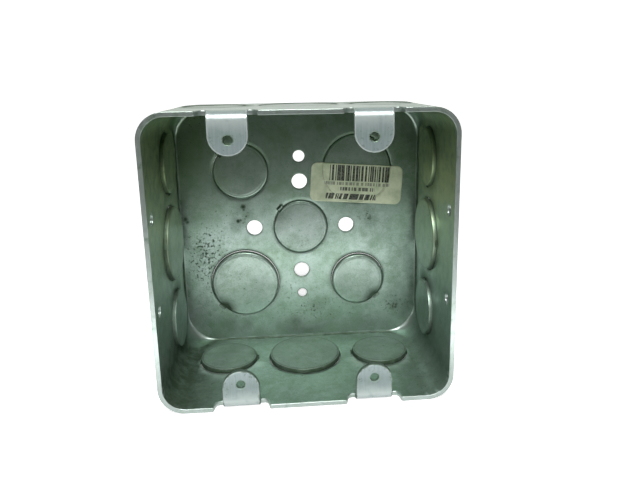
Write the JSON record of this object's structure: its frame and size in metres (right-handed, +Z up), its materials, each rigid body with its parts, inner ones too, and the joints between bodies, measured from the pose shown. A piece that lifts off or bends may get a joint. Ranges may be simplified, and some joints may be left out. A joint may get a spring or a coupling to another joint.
{
  "type": "electrical junction box",
  "caption": "Square drawn-steel two-gang electrical box with device ears, mounting holes and bent-tie conduit knockouts in its back and walls.",
  "frame": {"origin": "middle of the footprint on the outer face of the bottom wall", "axes": "+Z up with the box on its bottom wall; -Y out of the open side; +Y out of the back"},
  "size_m": [0.1016, 0.054, 0.1016],
  "materials": {
    "galvanised_steel": "dull galvanised, spangled, lightly stained",
    "galvanised_disc": "dull galvanised, stained in the sheared edge",
    "label_paper": "matt, aged"
  },
  "bodies": {
    "box": {"box_shell": "galvanised_steel", "label_on_back": "label_paper"},
    "disc_back_centre": {"knockout_back_centre": "galvanised_disc"},
    "disc_back_upper_left": {"knockout_back_upper_left": "galvanised_disc"},
    "disc_back_upper_right": {"knockout_back_upper_right": "galvanised_disc", "label_on_knockout": "label_paper"},
    "disc_back_lower_left": {"knockout_back_lower_left": "galvanised_disc"},
    "disc_back_lower_right": {"knockout_back_lower_right": "galvanised_disc"},
    "disc_right_upper": {"knockout_right_upper": "galvanised_disc"},
    "disc_right_middle": {"knockout_right_middle": "galvanised_disc"},
    "disc_right_lower": {"knockout_right_lower": "galvanised_disc"},
    "disc_top_left": {"knockout_top_left": "galvanised_disc"},
    "disc_top_middle": {"knockout_top_middle": "galvanised_disc"},
    "disc_top_right": {"knockout_top_right": "galvanised_disc"},
    "disc_left_upper": {"knockout_left_upper": "galvanised_disc"},
    "disc_left_middle": {"knockout_left_middle": "galvanised_disc"},
    "disc_left_lower": {"knockout_left_lower": "galvanised_disc"},
    "disc_bottom_left": {"knockout_bottom_left": "galvanised_disc"},
    "disc_bottom_middle": {"knockout_bottom_middle": "galvanised_disc"},
    "disc_bottom_right": {"knockout_bottom_right": "galvanised_disc"}
  },
  "joints": [
    {"name": "bend_back_centre", "type": "hinge", "parent": "box", "child": "disc_back_centre", "pos_m": [-0.0082, 0.0249, 0.059], "axis": [-0.7071, 0, -0.7071], "range_deg": [0, 88.5]},
    {"name": "bend_back_upper_left", "type": "hinge", "parent": "box", "child": "disc_back_upper_left", "pos_m": [-0.032, 0.0249, 0.0828], "axis": [-0.7071, 0, -0.7071], "range_deg": [0, 90]},
    {"name": "bend_back_upper_right", "type": "hinge", "parent": "box", "child": "disc_back_upper_right", "pos_m": [0.03412, 0.0249, 0.08492], "axis": [-0.7071, 0, 0.7071], "range_deg": [0, 90]},
    {"name": "bend_back_lower_left", "type": "hinge", "parent": "box", "child": "disc_back_lower_left", "pos_m": [-0.03412, 0.0249, 0.01668], "axis": [0.7071, 0, -0.7071], "range_deg": [0, 88.5]},
    {"name": "bend_back_lower_right", "type": "hinge", "parent": "box", "child": "disc_back_lower_right", "pos_m": [0.032, 0.0249, 0.0188], "axis": [0.7071, 0, 0.7071], "range_deg": [0, 88.5]},
    {"name": "bend_right_upper", "type": "hinge", "parent": "box", "child": "disc_right_upper", "pos_m": [0.0487, 0.0075, 0.0695], "axis": [0, -1, 0], "range_deg": [0, 89]},
    {"name": "bend_right_middle", "type": "hinge", "parent": "box", "child": "disc_right_middle", "pos_m": [0.0487, -0.0071, 0.0508], "axis": [0, 0, 1], "range_deg": [0, 89]},
    {"name": "bend_right_lower", "type": "hinge", "parent": "box", "child": "disc_right_lower", "pos_m": [0.0487, 0.0075, 0.0321], "axis": [0, 1, 0], "range_deg": [0, 89]},
    {"name": "bend_top_left", "type": "hinge", "parent": "box", "child": "disc_top_left", "pos_m": [-0.0187, 0.0075, 0.0995], "axis": [0, -1, 0], "range_deg": [0, 90]},
    {"name": "bend_top_middle", "type": "hinge", "parent": "box", "child": "disc_top_middle", "pos_m": [0, -0.0071, 0.0995], "axis": [-1, 0, 0], "range_deg": [0, 90]},
    {"name": "bend_top_right", "type": "hinge", "parent": "box", "child": "disc_top_right", "pos_m": [0.0187, 0.0075, 0.0995], "axis": [0, 1, 0], "range_deg": [0, 90]},
    {"name": "bend_left_upper", "type": "hinge", "parent": "box", "child": "disc_left_upper", "pos_m": [-0.0487, 0.0075, 0.0695], "axis": [0, 1, 0], "range_deg": [0, 89]},
    {"name": "bend_left_middle", "type": "hinge", "parent": "box", "child": "disc_left_middle", "pos_m": [-0.0487, -0.0071, 0.0508], "axis": [0, 0, -1], "range_deg": [0, 89]},
    {"name": "bend_left_lower", "type": "hinge", "parent": "box", "child": "disc_left_lower", "pos_m": [-0.0487, 0.0075, 0.0321], "axis": [0, -1, 0], "range_deg": [0, 89]},
    {"name": "bend_bottom_left", "type": "hinge", "parent": "box", "child": "disc_bottom_left", "pos_m": [-0.0187, 0.0075, 0.0021], "axis": [0, 1, 0], "range_deg": [0, 89]},
    {"name": "bend_bottom_middle", "type": "hinge", "parent": "box", "child": "disc_bottom_middle", "pos_m": [0, -0.0071, 0.0021], "axis": [1, 0, 0], "range_deg": [0, 89]},
    {"name": "bend_bottom_right", "type": "hinge", "parent": "box", "child": "disc_bottom_right", "pos_m": [0.0187, 0.0075, 0.0021], "axis": [0, -1, 0], "range_deg": [0, 89]}
  ]
}
